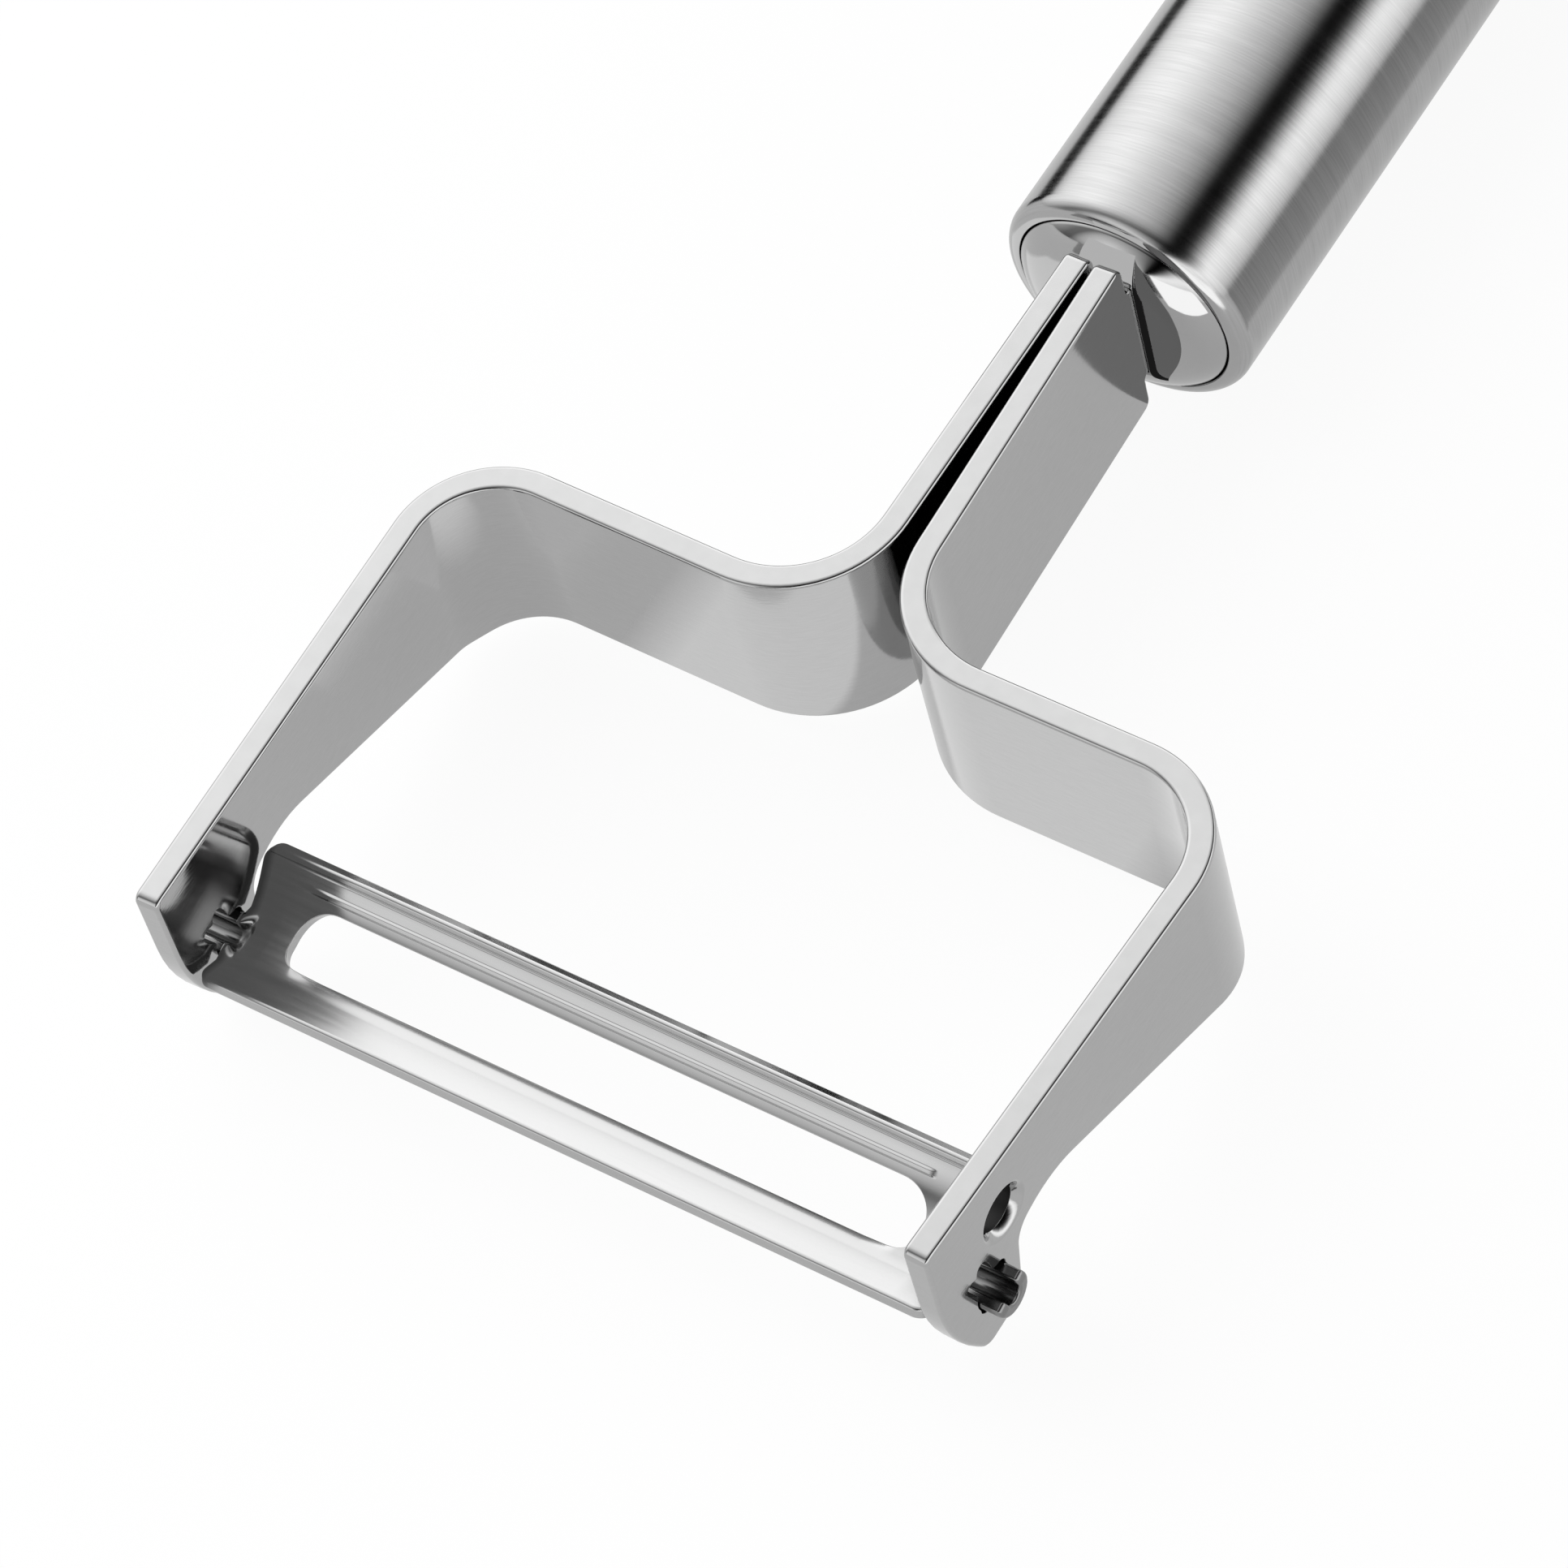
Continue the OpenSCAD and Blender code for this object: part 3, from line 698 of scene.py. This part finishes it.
class Graph:
    """Small helper that adds nodes to a node tree."""

    def __init__(self, tree):
        self.nodes = tree.nodes
        self.links = tree.links

    def link(self, source, target):
        """Joins an output to an input."""
        self.links.new(source, target)

    def where(self, kind):
        """Texture coordinates of a kind."""
        return self.nodes.new("ShaderNodeTexCoord").outputs[kind]

    def parts(self, vector):
        """X, Y and Z of a vector."""
        node = self.nodes.new("ShaderNodeSeparateXYZ")
        self.link(vector, node.inputs[0])
        return node.outputs

    def span(self, source, low, high, from_low=0.3, from_high=0.7):
        """Maps a value onto a range."""
        node = self.nodes.new("ShaderNodeMapRange")
        node.inputs["From Min"].default_value = from_low
        node.inputs["From Max"].default_value = from_high
        node.inputs["To Min"].default_value = low
        node.inputs["To Max"].default_value = high
        self.link(source, node.inputs["Value"])
        return node.outputs["Result"]

    def math(self, operation, *values):
        """One math node on values or outputs."""
        node = self.nodes.new("ShaderNodeMath")
        node.operation = operation
        for socket, value in zip(node.inputs, values):
            if isinstance(value, (int, float)):
                socket.default_value = value
            else:
                self.link(value, socket)
        return node.outputs[0]

    def mix(self, share, first, second):
        """Colour between two others, each a grey level or an output."""
        node = self.nodes.new("ShaderNodeMix")
        node.data_type = "RGBA"
        self.link(share, node.inputs["Factor"])
        for name, value in (("A", first), ("B", second)):
            if isinstance(value, (int, float)):
                node.inputs[name].default_value = (value, value, value, 1)
            else:
                self.link(value, node.inputs[name])
        return node.outputs["Result"]

    def ramp(self, source, stops, interpolation="LINEAR"):
        """Light along a value from 0 to 1, from stops (place, strength)."""
        node = self.nodes.new("ShaderNodeValToRGB")
        node.color_ramp.interpolation = interpolation
        elements = node.color_ramp.elements
        while len(elements) < len(stops):
            elements.new(0.5)
        for element, (place, strength) in zip(elements, stops):
            level = strength / RAMP_TOP
            element.position = place
            element.color = (level, level, level, 1)
        self.link(source, node.inputs["Fac"])
        return node.outputs["Color"]

    def surface(self, share, first, second):
        """Makes the surface a mix of two shader nodes."""
        node = self.nodes.new("ShaderNodeMixShader")
        self.link(share, node.inputs["Fac"])
        self.link(first.outputs[0], node.inputs[1])
        self.link(second.outputs[0], node.inputs[2])
        self.link(node.outputs[0], self.nodes["Material Output"].inputs["Surface"])


class Shader(Graph):
    """Node material around one Principled BSDF."""

    def __init__(self, name, colour, roughness, metallic=1):
        self.material = bpy.data.materials.new(name)
        self.material.use_nodes = True
        super().__init__(self.material.node_tree)
        self.bsdf = self.nodes["Principled BSDF"]
        self.bsdf.inputs["Base Color"].default_value = (colour, colour, colour, 1)
        self.bsdf.inputs["Metallic"].default_value = metallic
        self.bsdf.inputs["Roughness"].default_value = roughness
        self.coords = self.where("Object")

    def noise(self, scales, scale, detail=2.0, vector=None):
        """Noise stretched by the scales along X, Y and Z."""
        mapping = self.nodes.new("ShaderNodeMapping")
        mapping.inputs["Scale"].default_value = scales
        self.link(vector or self.coords, mapping.inputs["Vector"])
        noise = self.nodes.new("ShaderNodeTexNoise")
        noise.inputs["Scale"].default_value = scale
        noise.inputs["Detail"].default_value = detail
        self.link(mapping.outputs["Vector"], noise.inputs["Vector"])
        return noise.outputs["Fac"]

    def attribute(self, name):
        """Value of an attribute of the mesh."""
        node = self.nodes.new("ShaderNodeAttribute")
        node.attribute_name = name
        return node.outputs["Fac"]

    def grey(self, source, low, high):
        """Base colour between two greys."""
        self.link(self.mix(source, low, high), self.bsdf.inputs["Base Color"])

    def rough(self, source):
        """Roughness from an output."""
        self.link(source, self.bsdf.inputs["Roughness"])

    def bump(self, source, depth):
        """Bump of a depth in metres."""
        node = self.nodes.new("ShaderNodeBump")
        node.inputs["Strength"].default_value = 1.0
        node.inputs["Distance"].default_value = depth
        self.link(source, node.inputs["Height"])
        self.link(node.outputs["Normal"], self.bsdf.inputs["Normal"])


def turned_coords(shader):
    """Coordinates of angle round the handle's axis, place along it and distance from it."""
    x, y, z = shader.parts(shader.coords)
    up = shader.math("SUBTRACT", z, AXIS_Z * MM)
    angle = shader.math("ARCTAN2", x, up)
    squares = [shader.math("POWER", side, 2) for side in (x, up)]
    reach = shader.math("SQRT", shader.math("ADD", *squares))
    join = shader.nodes.new("ShaderNodeCombineXYZ")
    shader.link(shader.math("MULTIPLY", angle, HANDLE_R * MM), join.inputs["X"])
    shader.link(y, join.inputs["Y"])
    shader.link(reach, join.inputs["Z"])
    return join.outputs["Vector"], reach


def brushed_tube():
    """Steel brushed round its circumference, polished where the rolled end turns in."""
    shader = Shader("brushed_steel", STEEL, 0.2)
    vector, reach = turned_coords(shader)
    fine = shader.noise((0.06, 2.0, 0.0), 4000, 2, vector)
    broad = shader.noise((0.12, 1.0, 0.0), 900, 3, vector)
    streaks = shader.math("ADD", shader.math("MULTIPLY", fine, 0.65), shader.math("MULTIPLY", broad, 0.35))
    brushing = shader.span(reach, 0, 1, BRUSHED_FROM * MM, (BRUSHED_FROM + BRUSHED_FADE) * MM)
    tone = shader.math("MULTIPLY", shader.span(streaks, -1, 1, 0.35, 0.65), brushing)
    shader.grey(shader.math("MULTIPLY_ADD", tone, 0.5, 0.5), STEEL * 0.92, STEEL * 1.08)
    shader.rough(shader.math("MULTIPLY_ADD", tone, 0.025, shader.span(brushing, 0.05, 0.18, 0, 1)))
    shader.bsdf.inputs["Anisotropic"].default_value = 0.85
    shader.bsdf.inputs["Anisotropic Rotation"].default_value = 0.25
    tangent = shader.nodes.new("ShaderNodeTangent")
    tangent.direction_type = "RADIAL"
    tangent.axis = "Y"
    shader.link(tangent.outputs[0], shader.bsdf.inputs["Tangent"])
    shader.bump(shader.math("MULTIPLY", streaks, brushing), 2e-6)
    return shader.material


def polished():
    """Polished steel with faint smears."""
    shader = Shader("polished_steel", STEEL, 0.05)
    smears = shader.noise((1, 1, 1), 260, 3)
    shader.rough(shader.span(smears, 0.03, 0.08))
    shader.bump(smears, 4e-6)
    return shader.material


def strip_steel():
    """Polished strip with a faint grain along it and fine wear; the walls of its holes are painted nearly
    black as shade inside the holes, and are rougher.
    """
    shader = Shader("strip_steel", STRIP_STEEL, 0.1)
    grain = shader.noise((1, 1, 8), 900, 3)
    hole_wall = shader.attribute("wall")
    # The walls of the holes are darkened nearly to black: painted shade inside the holes
    left = shader.math("MULTIPLY_ADD", hole_wall, -HOLE_PAINTED_SHADE, 1)
    tone = shader.span(grain, STRIP_STEEL * 0.98, STRIP_STEEL * 1.02)
    shader.grey(shader.math("MULTIPLY", tone, left), 0, 1)
    shader.rough(shader.math("MULTIPLY_ADD", hole_wall, SHEARED_ROUGHER, shader.span(grain, 0.07, 0.12)))
    shader.bump(grain, 3e-6)
    return shader.material


def blade_steel():
    """Pressed blade steel with marks along its length, duller at its ends and where it is ground; its
    tongues are darkened with painted shade inside the arms' holes.
    """
    shader = Shader("blade_steel", BLADE_STEEL, 0.12)
    grain = shader.noise((0.05, 1, 1), 2500, 3)
    x, y, _ = shader.parts(shader.coords)
    off = shader.math("ABSOLUTE", x)
    # The tongues are darkened to half: painted shade inside the arms' holes
    tongue = shader.span(off, 1, 0.5, *[place * MM for place in PAINTED_SHADE_TONGUES])
    tone = shader.span(grain, BLADE_STEEL * 0.97, BLADE_STEEL * 1.03)
    shader.grey(shader.math("MULTIPLY", tone, tongue), 0, 1)
    ground = shader.span(y, 1, 0, *[(PIVOT_Y + place) * MM for place in GROUND_UNTIL])
    ends = shader.span(off, 0, 1, *[place * MM for place in DULL_ENDS])
    dull = shader.math("MAXIMUM", ground, ends)
    shader.rough(shader.math("MULTIPLY_ADD", dull, 0.1, shader.span(grain, 0.08, 0.13)))
    shader.bump(grain, 8e-7)
    return shader.material


def core_plastic():
    """Dark moulded plastic inside the handle."""
    shader = Shader("core_plastic", CORE_GREY, 0.5, metallic=0)
    grain = shader.noise((1, 1, 1), 3000, 2)
    shader.rough(shader.span(grain, 0.45, 0.6))
    shader.bump(grain, 2e-5)
    return shader.material


# Studio

CAMERA_PLACE = (0.196303, -0.251706, 0.401690)
CAMERA_RIGHT = (0.8353269, 0.5231772, -0.1688627)
CAMERA_UP = (-0.3639829, 0.7565158, 0.5433234)
CAMERA_BACK = (0.4120017, -0.3923895, 0.8223655)
CAMERA_LENS = 177.02

# Light round the handle's axis: degrees from straight up, to the right, and its strength
STUDIO = (
    (-180, 0.5), (-108, 0.1), (-98, 0.1), (-91, 1.0), (-80, 1.7), (-57, 2.0), (-40, 1.9),
    (-20, 1.4), (0, 1.0), (15, 0.6), (26, 0.1), (32, 0.0), (42, 0.0), (49, 0.08), (57, 1.0),
    (66, 2.1), (80, 1.5), (90, 1.1), (110, 0.3), (180, 0.5))
# Share of that light by direction along Y, from the front to the back. It holds up to the dark
# gap, and right of that angle the light keeps its whole strength
STUDIO_DEPTH = (
    (-1.0, 0.7), (-0.88, 0.66), (-0.76, 0.45), (-0.68, 0.14), (-0.6, 0.16), (-0.4, 0.46), (0.0, 0.9),
    (0.4, 1.0), (1.0, 1.05))
DARK_GAP = 38

FLOOR_HALF = 3.0
FLOOR_WHITE = 0.85
# Share of the floor that glows, to the camera and in the metal. The rest takes light and shadow
FLOOR_GLOW_SEEN = 0.93
FLOOR_GLOW_MIRRORED = 0.8
# How bright that glow is in the metal, where the camera sees it as 1
FLOOR_MIRRORED = 0.8

# Lamp in metres and watts
KEY_PLACE = (-0.34, -0.12, 0.3)
KEY_AIM = (-0.08, -0.06, 0)
KEY_SIZE = (0.3, 0.5)
KEY_ENERGY = 1.1

# These cards are painted reflections: the dark ones paint shade into the metal and the bright ones paint
# highlights
# Cards that only the metal shows, each from its front side: corner, side and upward edge,
# brightness at the lower and upper edge, and share of its length and height over which it fades out
CARDS = {
    "card_left": ((-42, -18, 2.0), (0, 128, 0), (0, 0, 13.5), 0.0, 0.0, 0.0, 0.05),
    "card_right": ((20, 110, -1), (0, -130, 0), (0, 0, 14.2), 0.52, 0.34, 0.0, 0.06),
    "card_front": ((38, -50, -1), (-33, 0, 0), (0, 0, 17.2), 2.1, 2.1, 0.02, 0.02),
    "card_arm": ((-27.85, -68, -1), (0, 8.4, 0), (0, 0, 13), 0.76, 0.76, 0.02, 0.05),
    "card_cross": ((-25.2, -56.85, -1), (10.2, 0, 0), (0, 0, 13), 0.76, 0.76, 0.02, 0.05),
    "card_blade_end": ((-27.3, -96, 5.5), (0, 27, 0), (0, 0, 12.5), 0.14, 0.14, 0.05, 0.12),
    "card_neck": ((2.76, -42, 0), (-0.57, 16.3, 0), (0, 0, 16.2), 0.23, 0.23, 0.0, 0.0),
    "card_gap": ((2.18, -25.7, 0), (0, 0.72, 0), (0, 0, 16.2), 0.02, 0.02, 0.0, 0.0),
    "card_cap": ((2.2, -25.1, 1.0), (6.1, 0, 0), (0, 0, 15.6), 0.25, 0.25, 0.0, 0.0),
    "card_tops": ((2.2, -25.33, 13.4), (-4.3, 0, 0), (0, 0, 3.1), 1.0, 1.0, 0.0, 0.0),
    "card_under_fork": ((-20.5, -67, 0.1), (42.5, 0, 0), (0, 11, 0), 1.08, 1.08, 0.1, 0.08),
    "card_under_cap": ((-22, -38, 0.1), (21, 0, 0), (0, 14, 0), 1.15, 1.15, 0.1, 0.1)}
# Cards in the shape of a half disc, whose straight side is at their corner
HALF_DISCS = ("card_cap",)


def make_camera():
    """Camera at the photograph's place and angle."""
    data = bpy.data.cameras.new("camera")
    data.lens = CAMERA_LENS
    data.sensor_width = 36
    data.clip_start = 0.01
    data.clip_end = 20
    camera = bpy.data.objects.new("camera", data)
    bpy.context.scene.collection.objects.link(camera)
    turn = Matrix((CAMERA_RIGHT, CAMERA_UP, CAMERA_BACK)).transposed().to_4x4()
    camera.matrix_world = Matrix.Translation(CAMERA_PLACE) @ turn
    bpy.context.scene.camera = camera


def make_world():
    """Soft boxes left and right above the object, as bands round the handle's direction."""
    world = bpy.data.worlds.new("studio")
    world.use_nodes = True
    graph = Graph(world.node_tree)
    x, y, z = graph.parts(graph.where("Generated"))
    angle = graph.math("ARCTAN2", x, z)
    band = graph.ramp(
        graph.span(angle, 0, 1, -math.pi, math.pi),
        [(degrees / 360 + 0.5, strength) for degrees, strength in STUDIO], "B_SPLINE")
    depth = graph.ramp(
        graph.span(y, 0, 1, -1, 1), [((place + 1) / 2, share) for place, share in STUDIO_DEPTH])
    right = graph.math("GREATER_THAN", angle, math.radians(DARK_GAP))
    lit = graph.nodes.new("ShaderNodeVectorMath")
    lit.operation = "MULTIPLY"
    graph.link(band, lit.inputs[0])
    graph.link(graph.mix(right, depth, 1 / RAMP_TOP), lit.inputs[1])
    path = graph.nodes.new("ShaderNodeLightPath").outputs
    white = 1 / RAMP_TOP ** 2
    background = graph.nodes["Background"]
    graph.link(graph.mix(path["Is Camera Ray"], lit.outputs["Vector"], white), background.inputs["Color"])
    background.inputs["Strength"].default_value = 1 / white
    bpy.context.scene.world = world


def stage_material(name):
    """Node material of the studio without a surface, and its graph."""
    material = bpy.data.materials.new(name)
    material.use_nodes = True
    graph = Graph(material.node_tree)
    graph.nodes.remove(graph.nodes["Principled BSDF"])
    return material, graph


def stage_object(name, mesh, material):
    """Object of the studio from a bmesh."""
    data = bpy.data.meshes.new(name)
    mesh.to_mesh(data)
    mesh.free()
    data.materials.append(material)
    thing = bpy.data.objects.new(name, data)
    bpy.context.scene.collection.objects.link(thing)
    return thing


def make_floor():
    """Plain white floor that keeps the object's shadow."""
    material, graph = stage_material("floor")
    diffuse = graph.nodes.new("ShaderNodeBsdfDiffuse")
    diffuse.inputs["Color"].default_value = (FLOOR_WHITE, FLOOR_WHITE, FLOOR_WHITE, 1)
    glow = graph.nodes.new("ShaderNodeEmission")
    path = graph.nodes.new("ShaderNodeLightPath").outputs
    seen = path["Is Camera Ray"]
    mirrored = graph.math("MAXIMUM", path["Is Glossy Ray"], path["Is Transmission Ray"])
    glowing = graph.math(
        "MULTIPLY_ADD", seen, FLOOR_GLOW_SEEN, graph.math("MULTIPLY", mirrored, FLOOR_GLOW_MIRRORED))
    level = graph.math("MULTIPLY_ADD", seen, 1 - FLOOR_MIRRORED, FLOOR_MIRRORED)
    graph.link(level, glow.inputs["Strength"])
    graph.surface(glowing, diffuse, glow)
    mesh = bmesh.new()
    bmesh.ops.create_grid(mesh, x_segments=8, y_segments=8, size=FLOOR_HALF)
    floor = stage_object("floor", mesh, material)


def make_key():
    """Soft lamp that lights the floor from the left; the softboxes of the world are what metal shows."""
    data = bpy.data.lights.new("key", "AREA")
    data.shape = "RECTANGLE"
    data.size, data.size_y = KEY_SIZE
    data.energy = KEY_ENERGY
    key = bpy.data.objects.new("key", data)
    bpy.context.scene.collection.objects.link(key)
    key.location = KEY_PLACE
    ahead = Vector(KEY_AIM) - Vector(KEY_PLACE)
    key.rotation_euler = ahead.to_track_quat("-Z", "Y").to_euler()
    key.visible_glossy = False


def make_card(name, corner, side, up, low_tone, high_tone, side_fade, up_fade):
    """Flat card, dark or bright, that only metal shows, and only from its front: a painted reflection."""
    material, graph = stage_material(name)
    x, y, _ = graph.parts(graph.where("Object"))
    behind = graph.nodes.new("ShaderNodeNewGeometry").outputs["Backfacing"]
    cover = graph.math("SUBTRACT", 1, behind)
    for place, fade in ((x, side_fade), (y, up_fade)):
        if fade > 0:
            cover = graph.math("MULTIPLY", cover, graph.span(place, 0, 1, 0, fade))
            cover = graph.math("MULTIPLY", cover, graph.span(place, 1, 0, 1 - fade, 1))
    glow = graph.nodes.new("ShaderNodeEmission")
    graph.link(graph.span(y, low_tone, high_tone, 0, 1), glow.inputs["Strength"])
    graph.surface(cover, graph.nodes.new("ShaderNodeBsdfTransparent"), glow)
    outline = [(0, 0), (1, 0), (1, 1), (0, 1)]
    if name in HALF_DISCS:
        steps = 48
        turns = [math.pi * k / steps for k in range(steps + 1)]
        outline = [(math.sin(turn), (1 - math.cos(turn)) / 2) for turn in turns]
    mesh = bmesh.new()
    mesh.faces.new([mesh.verts.new((x, y, 0)) for x, y in outline])
    card = stage_object(name, mesh, material)
    side, up = Vector(side) * MM, Vector(up) * MM
    turn = Matrix((side, up, side.cross(up).normalized())).transposed().to_4x4()
    card.matrix_world = Matrix.Translation(Vector(corner) * MM) @ turn
    card.visible_camera = False
    card.visible_diffuse = False
    card.visible_shadow = False


# Scene

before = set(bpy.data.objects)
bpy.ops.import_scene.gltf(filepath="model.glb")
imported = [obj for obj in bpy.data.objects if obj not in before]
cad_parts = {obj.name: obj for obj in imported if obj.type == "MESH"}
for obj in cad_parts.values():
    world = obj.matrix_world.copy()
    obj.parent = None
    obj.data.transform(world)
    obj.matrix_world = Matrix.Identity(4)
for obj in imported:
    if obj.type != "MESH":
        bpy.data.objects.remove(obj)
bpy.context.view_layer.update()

bpy.context.scene.view_settings.view_transform = "Standard"
make_camera()
make_world()
make_floor()
make_key()
for name, sizes in CARDS.items():
    make_card(name, *sizes)

FINISHES = {
    "brushed": brushed_tube(),
    "polished": polished(),
    "strip": strip_steel(),
    "blade": blade_steel(),
    "plastic": core_plastic()}


def dress(piece, body, node, finish):
    """Puts a new piece on its body, in the place of its CAD node, with its finish."""
    piece.data.materials.append(FINISHES[finish])
    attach(piece, body)
    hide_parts(node)


dress(
    strip(
        "strip_right", side=1, neck_x=NECK_X_RIGHT, neck=30.75, splay=2.0, rake=0.3,
        outer_bend=6.8, toe_in=2.4, dished=True),
    "handle", "frame_right", "strip")
dress(
    strip(
        "strip_left", side=-1, neck_x=NECK_X_LEFT, neck=30.35, splay=0.0, rake=-0.7,
        outer_bend=6.2, toe_in=1.5, dished=False),
    "handle", "frame_left", "strip")
dress(blade(), "blade", "blade", "blade")
dress(tube(), "handle", "handle_tube", "brushed")
dress(front_cap(), "handle", "front_cap", "polished")
dress(rear_cap(), "handle", "rear_cap", "polished")

for node, finish in (
        ("hanging_eye", "polished"), ("core", "plastic"), ("pin_front", "strip"), ("pin_rear", "strip")):
    for material_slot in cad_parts[node].material_slots:
        material_slot.material = FINISHES[finish]
